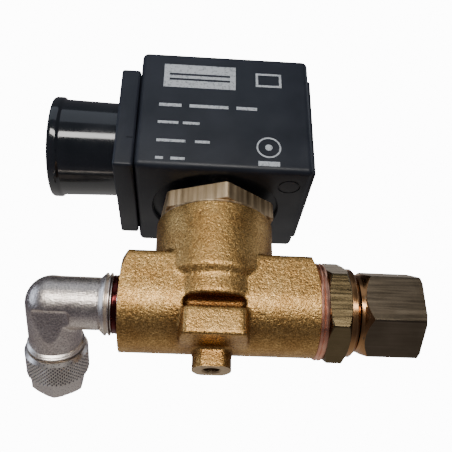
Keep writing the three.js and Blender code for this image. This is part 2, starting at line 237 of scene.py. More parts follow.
def hex_rows(across_flats, phase, low, high, low_face, high_face, low_degrees=30):
    """The rows of a hexagonal bar whose ends are turned down to round faces by chamfers."""
    radius = hexagon(across_flats, phase)
    slope, low_slope = (math.tan(math.radians(d)) for d in (30, low_degrees))
    edge = 0.12

    def depth(angle, face, steepness):
        return max(0.0, radius(angle) - face) * steepness

    def ease(angle, face):
        return edge * slope * (radius(angle) > face)
    return [
        lambda a: (min(radius(a) - edge, low_face), low),
        lambda a: (radius(a) - edge, low + depth(a, low_face, low_slope) - ease(a, low_face)),
        lambda a: (radius(a), low + depth(a, low_face, low_slope) + edge),
        lambda a: (radius(a), high - depth(a, high_face, slope) - edge),
        lambda a: (radius(a) - edge, high - depth(a, high_face, slope) + ease(a, high_face)),
        lambda a: (min(radius(a) - edge, high_face), high),
    ]


def two_tone(piece, first, second, chosen):
    """Gives the second material to the faces that are chosen by their centre and normal."""
    piece.data.materials.clear()
    for skin in (first, second):
        piece.data.materials.append(skin)
    for face in piece.data.polygons:
        face.material_index = int(chosen(face.center, face.normal))


def finish_piece(piece, material, body, slot, *nodes, sharp=32):
    """Scales a piece to metres, paints it unless it is two-tone, and places it in the frame."""
    piece.data.transform(Matrix.Scale(SCALE, 4))
    if len(piece.data.materials) == 0:
        piece.data.materials.append(material)
    piece.data.shade_smooth()
    piece.data.set_sharp_from_angle(angle=math.radians(sharp))
    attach(piece, body)
    if nodes:
        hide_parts(*nodes)
    return piece


# ---------------------------------------------------------------- materials

# The sockets of a Mix node when it mixes colours.
MIX_FACTOR, MIX_FIRST, MIX_SECOND, MIX_RESULT = 0, 6, 7, 2
WHITE_STOP = (1, 1, 1)


def set_stops(ramp_node, stops):
    """Fills a colour ramp. A stop is a position and a colour."""
    elements = ramp_node.color_ramp.elements
    while len(elements) < len(stops):
        elements.new(0.5)
    for element, (position, colour) in zip(elements, stops):
        element.position = position
        element.color = (*colour, 1)


class Skin:
    """A procedural material: one Principled shader and the noise that drives it."""

    def __init__(self, name, metallic, coat=0.0, coat_roughness=0.1, specular=0.5):
        self.material = bpy.data.materials.new(name)
        self.material.use_nodes = True
        self.nodes = self.material.node_tree.nodes
        self.links = self.material.node_tree.links
        self.shader = self.nodes["Principled BSDF"]
        self.shader.inputs["Metallic"].default_value = metallic
        self.shader.inputs["Coat Weight"].default_value = coat
        self.shader.inputs["Coat Roughness"].default_value = coat_roughness
        self.shader.inputs["Specular IOR Level"].default_value = specular
        self.place = self.nodes.new("ShaderNodeTexCoord").outputs["Object"]
        self.last_bump = None

    def grain(self, scale, detail=2.0, stretch=(1, 1, 1), distortion=0.0):
        """Noise fixed to the piece. A small number in stretch draws it out along that axis."""
        mapping = self.nodes.new("ShaderNodeMapping")
        mapping.inputs["Scale"].default_value = stretch
        self.links.new(self.place, mapping.inputs["Vector"])
        texture = self.nodes.new("ShaderNodeTexNoise")
        texture.inputs["Scale"].default_value = scale
        texture.inputs["Detail"].default_value = detail
        texture.inputs["Distortion"].default_value = distortion
        self.links.new(mapping.outputs["Vector"], texture.inputs["Vector"])
        return texture.outputs["Fac"]

    def hollows(self, reach):
        """Ambient occlusion: 1 on open surfaces, towards 0 in grooves and inside corners; used as painted
        shade.
        """
        node = self.nodes.new("ShaderNodeAmbientOcclusion")
        node.samples = 6
        node.only_local = True
        node.inputs["Distance"].default_value = reach
        return node.outputs["AO"]

    def ramp(self, source, *stops):
        node = self.nodes.new("ShaderNodeValToRGB")
        set_stops(node, stops)
        self.links.new(source, node.inputs["Fac"])
        return node.outputs["Color"]

    def spread(self, source, low, high, start=0.3, end=0.7):
        """Stretches the middle of a noise's range over low to high."""
        node = self.nodes.new("ShaderNodeMapRange")
        node.inputs["From Min"].default_value = start
        node.inputs["From Max"].default_value = end
        node.inputs["To Min"].default_value = low
        node.inputs["To Max"].default_value = high
        self.links.new(source, node.inputs["Value"])
        return node.outputs["Result"]

    def multiply(self, amount, first, second):
        node = self.nodes.new("ShaderNodeMix")
        node.data_type = "RGBA"
        node.blend_type = "MULTIPLY"
        node.inputs[MIX_FACTOR].default_value = amount
        self.links.new(first, node.inputs[MIX_FIRST])
        self.links.new(second, node.inputs[MIX_SECOND])
        return node.outputs[MIX_RESULT]

    def colour(self, source):
        self.links.new(source, self.shader.inputs["Base Color"])

    def roughness(self, source):
        self.links.new(source, self.shader.inputs["Roughness"])

    def bump(self, source, strength, distance):
        """Raises the surface by a noise, on top of the bumps that it already has."""
        node = self.nodes.new("ShaderNodeBump")
        node.inputs["Strength"].default_value = strength
        node.inputs["Distance"].default_value = distance
        self.links.new(source, node.inputs["Height"])
        if self.last_bump is not None:
            self.links.new(self.last_bump, node.inputs["Normal"])
        self.last_bump = node.outputs["Normal"]
        self.links.new(self.last_bump, self.shader.inputs["Normal"])


def cast_brass():
    skin = Skin("cast_brass", 1.0)
    fine = skin.grain(2600, 3)
    sand = skin.grain(1500, 2, distortion=0.4)
    patina = skin.grain(170, 4)
    metal = (0.30, (0.33, 0.185, 0.062)), (0.5, (0.55, 0.325, 0.11)), (0.72, (0.86, 0.56, 0.225))
    stains = (0.35, (0.74, 0.66, 0.58)), (0.6, WHITE_STOP)
    hollow_shade = (0.3, (0.17, 0.10, 0.075)), (0.62, (0.46, 0.36, 0.31)), (0.88, WHITE_STOP)
    aged = skin.multiply(0.75, skin.ramp(fine, *metal), skin.ramp(patina, *stains))
    # painted shade: ambient occlusion darkens the colour in grooves, notches and inside corners
    skin.colour(skin.multiply(1.0, aged, skin.ramp(skin.hollows(0.005), *hollow_shade)))
    skin.roughness(skin.spread(sand, 0.32, 0.5))
    skin.bump(sand, 0.6, 0.00026)
    skin.bump(fine, 0.6, 0.0001)
    return skin.material


def machined(name, dark, mid, light, roughness, stretch,
             scale=900, depth=0.00003, marks=0.4, stain=(0.72, 0.70, 0.66)):
    """Turned or drawn metal: fine tool marks, under a faint uneven stain."""
    skin = Skin(name, 1.0)
    lines = skin.grain(scale, 3, stretch)
    cloud = skin.grain(140, 3)
    base = skin.ramp(lines, (0.3, dark), (0.5, mid), (0.72, light))
    tone = skin.ramp(cloud, (0.35, stain), (0.62, WHITE_STOP))
    skin.colour(skin.multiply(0.7, base, tone))
    skin.roughness(skin.spread(lines, roughness - 0.08, roughness + 0.1))
    skin.bump(lines, marks, depth)
    return skin.material


def blasted_nickel():
    skin = Skin("blasted_nickel", 1.0)
    fine = skin.grain(2300, 2)
    cloud = skin.grain(160, 3)
    base = skin.ramp(fine, (0.3, (0.52, 0.465, 0.42)), (0.7, (0.98, 0.89, 0.81)))
    tone = skin.ramp(cloud, (0.35, (0.86, 0.83, 0.82)), (0.65, WHITE_STOP))
    skin.colour(skin.multiply(0.8, base, tone))
    skin.roughness(skin.spread(cloud, 0.26, 0.36))
    skin.bump(fine, 0.8, 0.00014)
    return skin.material


def moulded(name, dark, light, low, high, scale, strength, coat=0.0, specular=0.5):
    """Moulded plastic or rubber with a fine texture. low and high bound its roughness."""
    skin = Skin(name, 0.0, coat, 0.08, specular)
    fine = skin.grain(scale, 2)
    cloud = skin.grain(90, 4)
    skin.colour(skin.ramp(cloud, (0.35, dark), (0.7, light)))
    skin.roughness(skin.spread(cloud, low, high))
    skin.bump(fine, strength, 0.00004)
    return skin.material


def copper(name, dark, light, roughness):
    """Soft metal with faint marks along X. In dark red it is the glossy compound at the elbow's thread."""
    skin = Skin(name, 1.0)
    lines = skin.grain(700, 3, (0.25, 1, 1))
    cloud = skin.grain(260, 3)
    skin.colour(skin.ramp(cloud, (0.32, dark), (0.68, light)))
    skin.roughness(skin.spread(lines, roughness, roughness + 0.2))
    skin.bump(lines, 0.35, 0.00006)
    return skin.material


def print_ink():
    skin = Skin("print_ink", 0.0, specular=0.2)
    wear = skin.grain(1900, 3)
    skin.colour(skin.ramp(wear, (0.28, (0.22, 0.24, 0.27)), (0.5, (0.52, 0.55, 0.58))))
    skin.roughness(skin.spread(wear, 0.5, 0.75))
    skin.bump(wear, 0.2, 0.00002)
    return skin.material


ALONG_Z = (1, 1, 0.04)
ALONG_X = (0.04, 1, 1)
ACROSS_X = (1, 0.04, 0.04)
EVEN = (1, 1, 1)
CAST = cast_brass()
BRASS = machined("machined_brass", (0.52, 0.37, 0.21), (0.70, 0.53, 0.33), (0.88, 0.71, 0.48),
                 0.5, ALONG_Z, 800)
OLIVE = machined("dark_brass", (0.15, 0.11, 0.056), (0.165, 0.122, 0.063), (0.183, 0.137, 0.072),
                 0.25, ALONG_X, 1500, 0.00002, 0.05)
BRONZE = machined("dull_bronze", (0.155, 0.122, 0.083), (0.175, 0.139, 0.096), (0.2, 0.16, 0.112),
                  0.38, ALONG_X, 1700, 0.00002, 0.1)
# Turned brass. On the union nut's left end it also carries a painted reflection of the collar.
REDDISH = machined("turned_brass", (0.36, 0.175, 0.075), (0.44, 0.23, 0.10), (0.54, 0.31, 0.145),
                   0.22, ACROSS_X, 900, 0.00002, 0.2)
NICKEL = blasted_nickel()
NUT_NICKEL = machined("turned_nickel", (0.76, 0.69, 0.62), (0.86, 0.79, 0.72), (0.94, 0.88, 0.81),
                      0.32, EVEN, 3200, 0.000006, 0.15, (0.92, 0.92, 0.91))
# A dark copy of the nickel, put into the knurl's grooves as painted shade.
KNURL_SHADE = machined("knurl_painted_shade", (0.15, 0.13, 0.115), (0.21, 0.18, 0.16), (0.29, 0.255, 0.23),
                  0.42, EVEN, 900)
STEEL = machined("bright_steel", (0.50, 0.50, 0.51), (0.58, 0.58, 0.59), (0.66, 0.66, 0.67),
                 0.28, EVEN, 3200, 0.000006, 0.15, (0.93, 0.93, 0.93))
WIRE = machined("spring_steel", (0.3, 0.3, 0.31), (0.45, 0.45, 0.46), (0.6, 0.6, 0.61), 0.3, ALONG_X)
TIN = machined("tinned", (0.5, 0.49, 0.46), (0.64, 0.63, 0.6), (0.78, 0.77, 0.74), 0.33, ALONG_X)
COPPER = copper("copper", (0.78, 0.34, 0.21), (1.0, 0.60, 0.42), 0.24)
SEALANT = copper("wine_red_sealant", (0.055, 0.012, 0.012), (0.13, 0.028, 0.026), 0.16)
MATT = moulded("matt_black", (0.009, 0.0115, 0.018), (0.016, 0.0195, 0.029),
               0.38, 0.52, 3200, 0.2, specular=0.42)
GLOSS = moulded("gloss_black", (0.006, 0.008, 0.011), (0.012, 0.014, 0.018), 0.08, 0.2, 900, 0.05, 0.6)
RUBBER = moulded("black_rubber", (0.012, 0.012, 0.012), (0.03, 0.03, 0.03), 0.6, 0.85, 1500, 0.4)
WHITE = moulded("white_plastic", (0.62, 0.58, 0.5), (0.8, 0.77, 0.7), 0.4, 0.6, 1200, 0.15)
INK = print_ink()


# ---------------------------------------------------------------- cast body

def body_bar():
    """The bar between the ports, round below and square above, a little longer than the casting."""
    side, top, corner, spare = BODY["side"], BODY["top"], 1.5, 2
    quarter = math.pi / 2
    outline = arc((0, 0), side, math.pi, TURN, 32)
    outline += arc((side - corner, top - corner), corner, 0.0, quarter, 6)
    outline += arc((corner - side, top - corner), corner, quarter, math.pi, 6)
    ends = (BODY["left"] - spare, BODY["right"] + spare)
    return prism("valve_body_cast", outline, ends, lambda point, x: (x, *point))


def body_column():
    """The turret, with its neck and the cone under it."""
    root, low, neck_low, neck_high, shoulder, spare_top = 11.8, -4.8, -1.1, 3.6, 5.6, 26
    return revolve("column", [
        (0, low), (root, low), (TURRET["neck"], neck_low), (TURRET["neck"], neck_high),
        (TURRET["radius"], shoulder), (TURRET["radius"], spare_top), (0, spare_top),
    ])


def body_pad():
    """The pad on the front, its flanks flared where they meet the bar."""
    flank = [(6.9, -13.8), (7.8, -13.2), (8.2, -11.8), (8.7, -9), (8.9, 0)]
    outline = flank + [(-x, y) for x, y in reversed(flank)]
    return prism("pad", outline, (-12.2, -4.8), lambda point, z: (*point, z))


def body_foot():
    """The fixing boss: a rod with two flats."""
    sides = rounded_block("sides", (-8, 8), (-BOSS["side"], BOSS["side"]), (-24, 4), 0)
    return combine(rod("foot", BOSS["radius"], -20, 0), sides, "INTERSECT")


def body_envelope():
    """The space that the machined ends, top and foot leave to the casting."""
    left, right, face, reach = BODY["left"], BODY["right"], BODY["face"], 34
    run = (reach - face) * math.tan(math.radians(30))
    envelope = revolve("envelope", [
        (0, left), (face, left), (reach, left + run), (reach, right - run), (face, right), (0, right),
    ], 128, ABOUT_X)
    slab = rounded_block("slab", (-60, 60), (-60, 60), (BOSS["low"], TURRET["top"]), 0)
    return combine(envelope, slab, "INTERSECT")


def body_chamber():
    """The piston's chamber around the seat, and the bonnet's bore with its seal groove."""
    return union(
        combine(rod("chamber", 10, 3.5, 15.7), rod("seat", 6.4, 2.5, 5.2), "DIFFERENCE"),
        revolve("spigot", [(0, 14.7), (13.3, 14.7), (13.3, 22.9), (13.9, 23.5), (13.9, 25), (0, 25)]),
        revolve("groove", [(11.05, 13.15), (12.95, 13.15), (12.95, 15.7), (11.05, 15.7)]),
    )


def body_ports():
    """Both threaded ports and the ways between them and the seat."""
    left, right, mouth, bore, way = BODY["left"], BODY["right"], PORT["mouth"], PORT["bore"], PORT["way"]
    at_way = Matrix.Translation((0, 0, PORT["way_z"])) @ ABOUT_X
    left_port = [(0, left - 2), (mouth, left - 2), (mouth, left), (bore, left + 0.5), (bore, -12), (0, -12)]
    right_port = [(0, 14), (bore, 14), (bore, right - 0.5), (mouth, right), (mouth, right + 2),
                  (0, right + 2)]
    return union(
        rod("throat", 5, -6.3, 6.2),
        revolve("left_port", left_port, 64, ABOUT_X),
        rod("left_way", way, -13, -7.5, 48, at_way),
        rounded_block("way_up", (-9.7, -6.9), (-3, 3), (PORT["way_z"], 4), 0),
        revolve("right_port", right_port, 64, ABOUT_X),
        rod("right_way", way, 0, 15, 48, at_way),
    )


def fixing_hole():
    low, hole, mouth, below = BOSS["low"], BOSS["hole"], 2.55, -18.2
    return revolve("hole", [(0, below), (mouth, below), (mouth, low), (hole, low + 0.4), (hole, -8.2),
                            (0, -7.2)], 48)


def is_cut(centre, _normal):
    """True on the faces of the casting that a tool has cut."""
    flat = abs(centre.z - TURRET["top"]) < 0.02 or abs(centre.z - BOSS["low"]) < 0.02
    bored = math.hypot(centre.y, centre.z) < 9.2 and (centre.x < -12.2 or centre.x > 14.2)
    drilled = math.hypot(centre.x, centre.y) < 2.6 and centre.z < -7
    return flat or bored or drilled


def build_body():
    grid = 0.42
    cast = merged(body_bar(), body_column(), body_pad(), body_foot())
    soften(cast, grid, 2)
    notch = rounded_block("notch", (-7.9, 7.9), (-20, -10.3), (-4.9, -1.7), 1.4)
    combine(cast, notch, "DIFFERENCE")
    soften(cast, grid, 6)
    combine(cast, body_envelope(), "INTERSECT")
    combine(cast, union(body_chamber(), body_ports()), "DIFFERENCE")
    combine(cast, fixing_hole(), "DIFFERENCE")
    two_tone(cast, CAST, BRASS, is_cut)
    finish_piece(cast, CAST, "valve", "cast_brass", "valve_body", sharp=34)


# ---------------------------------------------------------------- bonnet, coil nut and core

def build_bonnet():
    bore, low, hex_low, hex_high = 7.3, 16.8, 24.35, 29.35
    rows = [(bore, low), (13, low), (13, 23.8), (15.7, 23.8), (15.9, 24.0), (15.9, hex_low),
            *hex_rows(30, 8.2, hex_low, hex_high, 17, 16.9), (bore, hex_high)]
    finish_piece(revolve("bonnet_nut_turned", rows, 240), BRASS, "valve", "machined_brass", "bonnet_nut")


def build_coil_nut():
    bore, low, high = 5.3, COIL["high"] + 2.1, COIL["high"] + 7.4
    rows = [(bore, low), *hex_rows(17, 0, low, high, 8.3, 8.3), (bore + 0.3, high), (bore, high - 0.3)]
    finish_piece(revolve("coil_nut_turned", rows, 180), STEEL, "coil_nut_group", "bright_steel", "coil_nut")


def build_coil_washer():
    bore, rim, edge, low, high = 5.3, 11, 0.2, COIL["high"] + 0.3, COIL["high"] + 1.8
    rows = [(bore, low), (rim - edge, low), (rim, low + edge), (rim, high - edge), (rim - edge, high),
            (bore, high)]
    finish_piece(revolve("coil_washer_turned", rows), STEEL, "valve", "bright_steel", "coil_washer")


def build_core():
    """The core; its stud carries plain ridges in place of a thread."""
    stud, top, head, pitch, groove = CORE["stud"], CORE["top"], CORE["head"], 1.0, 0.28
    ridges = []
    height = CORE["shoulder"] + 0.7
    while height < top - pitch:
        ridges += [(stud, height), (stud, height + 0.12), (stud - groove, height + 0.5),
                   (stud, height + 0.88)]
        height += pitch
    rows = [(0, CORE["bottom"]), (CORE["radius"], CORE["bottom"]), (CORE["radius"], CORE["collar"]),
            (head, CORE["collar"]), (head, CORE["shoulder"]), *ridges,
            (stud, top - 0.6), (stud - 0.6, top), (0, top)]
    finish_piece(revolve("fixed_core_turned", rows, 72), STEEL, "valve", "bright_steel", "fixed_core")


# ---------------------------------------------------------------- coil and connector

def build_coil_case():
    left, right, front, back = COIL["left"], COIL["right"], COIL["front"], COIL["back"]
    low, high, wall = COIL["low"], COIL["high"], COIL["wall"]
    case = rounded_block("coil_case_moulded", (left, right), (front, back), (low, high), 1.7, 5)
    panel = rounded_block("panel", (right - 3, right + 0.8), (front + 2, 17), (low + 1, 64.3), 0.6, 3)
    union(case, panel)
    inside = rounded_block("inside", (left + wall, right - wall), (front + wall, back - wall),
                           (low + wall + 0.6, high + 4), 0.9, 3)
    depth, chamfer, mouth = 1.2, 0.35, 18.2
    recess = revolve("recess", [(0, low - 1), (mouth, low - 1), (mouth, low), (17.9, low + chamfer),
                                (17.9, low + depth), (0, low + depth)], 128)
    ring = [(2.7, low - 1), (3.1, low - 1), (3.1, low + 0.25), (2.7, low + 0.25)]
    mould_mark = revolve("mould_mark", ring, 48, Matrix.Translation((19.5, -13.5, 0)))
    for cutter in (inside, recess, mould_mark, rod("tube_way", 7.3, low - 2, 90)):
        combine(case, cutter, "DIFFERENCE")
    finish_piece(case, MATT, "coil_group", "matt_black_plastic", "coil_case")


def build_coil_lid():
    inset, low, high = COIL["wall"] + GAP, COIL["high"] - 2.6, COIL["high"] - 0.1
    lid = rounded_block("coil_lid_moulded", (COIL["left"] + inset, COIL["right"] - inset),
                        (COIL["front"] + inset, COIL["back"] - inset), (low, high), 0.5, 3)
    combine(lid, rod("lid_way", 7.3, 60, 80), "DIFFERENCE")
    finish_piece(lid, MATT, "coil_group", "matt_black_plastic", "coil_lid")


def build_connector_plate():
    left, right, front = PLATE["left"], PLATE["right"], PLATE["front"]
    plate = rounded_block("connector_plate_moulded", (left, right), (front, PLATE["back"]),
                          (PLATE["low"], PLATE["high"]), 0.8, 4)
    seat = rod("plate_seat", 10.2, left - 1, left + 2, 96, AT_SHROUD)
    combine(plate, seat, "DIFFERENCE")
    seam = rounded_block("seam", (left + 3.1, right + 1), (-24, front + 0.25), (39.2, 39.5), 0)
    combine(plate, seam, "DIFFERENCE")
    finish_piece(plate, MATT, "coil_group", "matt_black_plastic", "connector_base")


def build_shroud():
    end, rim, mouth, root = SHROUD["end"], SHROUD["rim"], SHROUD["mouth"], SHROUD["root"]
    foot = PLATE["left"] - GAP
    rows = [(12, end + 0.15), (12.15, end), (rim - 0.7, end), (rim - 0.25, end + 0.12), (rim, end + 0.6),
            (rim, end + 2.4), (rim - 0.12, end + 2.7), (mouth + 0.08, end + 3.1), (mouth, end + 3.4),
            (root, foot - 0.2), (root - 0.2, foot), (10.8, foot), (11.4, foot - 8)]
    shroud = revolve("connector_shroud_moulded", rows, 160, AT_SHROUD)
    finish_piece(shroud, GLOSS, "coil_group", "gloss_black_plastic", "connector_shroud", sharp=40)


def build_terminals():
    """The terminal block and its three blades, the middle one set higher."""
    face, foot, radius = PLATE["left"] - 6, PLATE["left"] + 1.7, 9.4
    block = revolve("terminal_block_moulded", [
        (0, face), (radius - 0.4, face), (radius, face + 0.4), (radius, foot), (0, foot),
    ], 96, AT_SHROUD)
    names = ("terminal_supply", "terminal_earth", "terminal_return")
    places = [(SHROUD["y"] - 5 + 5 * i, SHROUD["z"] + 3 * (i % 2)) for i in range(len(names))]
    for y, z in places:
        slot = rounded_block("slot", (face - 1, PLATE["left"] + 1.2), (y - 0.75, y + 0.75),
                             (z - 3.5, z + 3.5), 0)
        combine(block, slot, "DIFFERENCE")
    finish_piece(block, MATT, "coil_group", "matt_black_plastic", "terminal_block")
    for name, (y, z) in zip(names, places):
        blade = rounded_block(name + "_blade", (face - 5.5, PLATE["left"] + 0.9), (y - 0.4, y + 0.4),
                              (z - 3.15, z + 3.15), 0.2, 2)
        finish_piece(blade, TIN, "coil_group", "tinned_terminal", name)


# ---------------------------------------------------------------- plain blocks in place of the printing

INK_HEIGHT = 0.03
INK_DEPTH = 0.12


def bar(name, x0, x1, z0, z1):
    """A bar of print, sunk into the coil's front and standing slightly proud of it."""
    thickness = (COIL["front"] - INK_HEIGHT, COIL["front"] + INK_DEPTH)
    return rounded_block(name, (x0, x1), thickness, (z0, z1), 0.06, 2)


def opening(name, x0, x1, z0, z1):
    """A cutter through the print."""
    return rounded_block(name, (x0, x1), (COIL["front"] - 1, COIL["front"] + 1), (z0, z1), 0)


def print_header():
    header = bar("print_header", -16.2, 4.2, 57.5, 65.9)
    for low in (60.1, 61.9):
        combine(header, opening("stripe", -14.6, 2.6, low, low + 0.75), "DIFFERENCE")
    return header


def print_rows():
    """One piece for each row of print. A row is its height and the spans of its dashes."""
    rows = {
        "print_row_1": (50.5, 51.6, ((-17.0, -10.8), (-8.6, 2.2), (4.4, 10.2))),
        "print_row_2": (44.6, 45.5, ((-17.0, -11.4), (-10.2, -5.6))),
        "print_row_3": (38.5, 39.4, ((-17.0, -9.2), (-6.7, -2.7))),
        "print_row_4": (32.8, 33.7, ((-17.0, -14.9), (-13.0, -9.2))),
    }
    return [merged(*[bar(name, x0, x1, z0, z1) for x0, x1 in spans])
            for name, (z0, z1, spans) in rows.items()]


def print_frame():
    mark = bar("print_mark_1", 9.9, 17.3, 59.2, 64.2)
    return combine(mark, opening("inner", 10.6, 16.6, 59.9, 63.5), "DIFFERENCE")


def print_target():
    """A ring around a dot, over a short bar."""
    facing = Matrix.Translation((13.2, 0, 38.2)) @ Matrix.Rotation(math.pi / 2, 4, "X")
    back, face = -COIL["front"] - 0.1, -COIL["front"] + INK_HEIGHT
    ring = revolve("print_mark_2", [(2.9, back), (3.35, back), (3.35, face), (2.9, face)], 64, facing)
    dot = revolve("dot", [(0, back), (1.0, back), (1.0, face), (0, face)], 48, facing)
    return merged(ring, dot, bar("mark_bar", 10.3, 16.1, 32.2, 33.7))


def build_print():
    for piece in (print_header(), *print_rows(), print_frame(), print_target()):
        finish_piece(piece, INK, "coil_group", None)


# ---------------------------------------------------------------- elbow and hose nut

def elbow_flats():
    """Cutters for the two flats on the elbow's leg, which run out at a slant."""
    top = (-5.3, 1.9)
    slant = Matrix.Rotation(math.radians(-10.5), 4, "X")
    run_out = Matrix.Translation((0, *top)) @ slant @ Matrix.Translation((0, -top[0], -top[1]))
    for turn in (0, math.pi):
        flat = rounded_block("flat", (-5.2, 5.4), (-14, top[0]), (-12, top[1]), 1.3, 4)
        flat.data.transform(LEG @ Matrix.Rotation(turn, 4, "Z") @ run_out)
        yield flat


def elbow_shank():
    """The turned end that screws into the body, with two ridges in place of its thread."""
    ridges = [(THREAD - 0.05, -28.3), (THREAD, -28.2), (THREAD, -27.98), (7.5, -27.55), (7.52, -27.5),
              (THREAD, -27.05), (THREAD, -26.85), (7.25, -26.5)]
    return revolve("shank", [(0, -30.4), (6.8, -30.4), (7.0, -29.6), (7.15, -29.5), *ridges, (7.2, -24.7),
                             (THREAD, -24.4), (THREAD, -12.4), (0, -12.4)], 96, ABOUT_X)


def elbow_collar():
    """The turned end that carries the hose nut."""
    return revolve("collar", [
        (0, -19.5), (3.7, -19.5), (3.9, -19.3), (3.9, -18.2), (6.8, -18.2), (6.8, -14), (7.45, -14),
        (7.7, -13.8), (7.7, -13.4), (7.5, -13.25), (7.5, -13.1), (7.7, -12.95), (7.7, -12.75), (7.1, -12.3),
        (0, -12.3),
    ], 96, LEG)


def build_elbow():
    x, leg, bore = ELBOW["x"], ELBOW["leg"], ELBOW["bore"]
    pipe = rod("elbow_fitting_blasted", ELBOW["barrel"], x, -29.6, 96, ABOUT_X)
    down = revolve("down", [(0, -13.4), (leg, -13.4), (leg, 0), (0, 0)], 96, LEG)
    ball = [(leg * math.sin(math.pi * i / 24), -leg * math.cos(math.pi * i / 24)) for i in range(1, 24)]
    heel = revolve("heel", [(0, -leg), *ball, (0, leg)], 64, LEG)
    pipe = merged(pipe, down, heel)
    soften(pipe, 0.3, 5)
    for flat in elbow_flats():
        combine(pipe, flat, "DIFFERENCE")
    soften(pipe, 0.24, 3)
    union(pipe, elbow_shank(), elbow_collar())
    ways = union(rod("leg_way", bore, -21, 0, 48, LEG), rod("barrel_way", bore, x, 0, 48, ABOUT_X))
    combine(pipe, ways, "DIFFERENCE")
    along_leg = LEG.inverted()
    two_tone(pipe, NICKEL, NUT_NICKEL, lambda c, n: c.x > -29.45 or (along_leg @ c).z < -12.35)
    finish_piece(pipe, NICKEL, "valve", "nickel_plate", "elbow_fitting", sharp=30)


def build_sealant():
    """The compound squeezed out at the elbow's last threads, slightly uneven."""
    rows = [(7.4, -26.2), (7.7, -26.3), (7.85, -26.1), (7.6, -25.75), (7.8, -25.3), (7.85, -25.0),
            (7.7, -24.75), (7.4, -24.8)]
    sealant = revolve("thread_sealant_ring", rows, 128, ABOUT_X)
    for vertex in sealant.data.vertices:
        wobble = noise.noise(vertex.co * 0.9) * 0.07
        radius = math.hypot(vertex.co.y, vertex.co.z)
        vertex.co.y *= 1 + wobble / radius
        vertex.co.z *= 1 + wobble / radius
    finish_piece(sealant, SEALANT, "valve", "copper_seal", "thread_sealant", sharp=60)


def build_hose_nut():
    """A hexagon below a band of diamond knurling, drawn along the elbow's leg."""
    radius, start, knurl_end, end = 8.6, 14.5, 22.7, 27.7
    bore, seat, shoulder = 5.1, -20.5, 7.1
    teeth, depth = 46, 0.42
    pitch = TURN * radius / teeth

    def knurl(height):
        run = -height

        def row(angle):
            a = (angle * teeth / TURN + run / pitch) % 1
            b = (angle * teeth / TURN - run / pitch) % 1
            ridge = min(1.0, 2.5 * max(min(a, 1 - a), min(b, 1 - b)))
            return radius - depth * (1 - ridge), height
        return row
    rows = [(bore, seat), (bore, 0.25 - end), (bore + 0.25, -end),
            *hex_rows(13.6, 0, -end, 0.2 - knurl_end, 6.9, 7.9),
            (radius - 0.75, -knurl_end), (radius - 0.3, 0.12 - knurl_end)]
    height = 0.3 - knurl_end
    while height < -start - 1.2:
        rows.append(knurl(height))
        height += pitch / 6
    rows += [(radius - 0.1, -start - 1.1), (radius, -start - 0.95), (7.95, -start), (shoulder, -start),
             (shoulder, seat)]
    nut = revolve("knurled_nut_cut", rows, 8 * teeth)
    deep = radius - 0.45 * depth
    # painted shade: faces deep in the knurl take the dark nickel
    two_tone(nut, NUT_NICKEL, KNURL_SHADE,
             lambda c, n: math.hypot(c.x, c.y) < deep and 0.5 - knurl_end < c.z < -start - 1.3)
    nut.data.transform(LEG)
    finish_piece(nut, NUT_NICKEL, "hose_nut_group", "nickel_plate", "knurled_nut", sharp=24)


# ---------------------------------------------------------------- compression fitting

def build_sealing_washer():
    """A copper washer whose rim has two beads."""
    bore, left, right = 8.7, 26.8, 29.1
    rows = [(bore, left), (12.4, left), (12.75, 27.05), (12.98, 27.45), (12.7, 27.9), (13.0, 28.35),
            (12.85, 28.75), (12.5, right), (bore, right)]
    finish_piece(revolve("sealing_washer_turned", rows, 144, ABOUT_X), COPPER, "valve", "copper_seal",
                 "sealing_washer", sharp=50)


def build_adaptor():
    hex_left, hex_right, collar, neck, end = 29.1, 34.9, 11.8, 8.4, 47.5
    rows = [(5, 14.4), (7.9, 14.4), (THREAD, 14.8), (THREAD, hex_left),
            *hex_rows(24, -23.5, hex_left, hex_right, 12.2, 12.1),
            (collar, 35.0), (collar, 36.3), (11.65, 36.5), (11.0, 37.1), (neck, 37.1), (neck, end),
            (7.4, end), (6.2, 45.5), (6.2, 43), (5, 43)]
    adaptor = revolve("stud_adaptor_turned", rows, 240, ABOUT_X)
    two_tone(adaptor, OLIVE, REDDISH, lambda c, n: 34.95 < c.x < 44)
    finish_piece(adaptor, OLIVE, "valve", "dark_brass", "stud_adaptor")


def build_union_nut():
    hex_left, end, bore, tube_bore = 38.6, 54.3, 8.8, 6.3
    skirt = [(bore, 37.5), (9.8, 37.5), (10.25, 37.75), (10.4, 38.1), (10.4, 38.55)]
    bar_rows = hex_rows(21.2, 29, hex_left, end, 10.3, 11.4, 45)[1:]
    inner = [(tube_bore + 0.3, end), (tube_bore, 54.0), (tube_bore, 51.8), (8.2, 50.8), (bore, 49.5)]
    nut = revolve("union_nut_turned", [*skirt, *bar_rows, *inner], 240, ABOUT_X)
    # The turned left end is turned brass. Its reddish colour there, and on the chamfer faces turned towards
    # the collar, is also a painted reflection of the collar.
    two_tone(nut, BRONZE, REDDISH, lambda c, n: c.x < hex_left or c.x < 41 and n.x < -0.3)
    finish_piece(nut, BRONZE, "union_nut_group", "dark_brass", "union_nut")


# ---------------------------------------------------------------- pieces inside the valve

def build_spring(name, radius, low, high, turns, travel):
    """A coil spring of wire, wound from low to high."""
    wire, sides, steps = 0.4, 10, turns * 32
    vertices, faces = [], []
    for i in range(steps + 1):
        a = TURN * turns * i / steps
        middle = low + wire + (high - low - 2 * wire) * i / steps
        for k in range(sides):
            b = TURN * k / sides
            r = radius + wire * math.cos(b)
            vertices.append((r * math.cos(a), r * math.sin(a), middle + wire * math.sin(b)))
    for i in range(steps):
        for k in range(sides):
            here, there = i * sides, (i + 1) * sides
            faces.append((here + k, there + k, there + (k + 1) % sides, here + (k + 1) % sides))
    faces.append(tuple(range(sides)))
    faces.append(tuple(steps * sides + k for k in reversed(range(sides))))
    piece = finish_piece(new_object(name + "_wire", vertices, faces), WIRE, "valve", "spring_steel", name)
    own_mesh(piece)


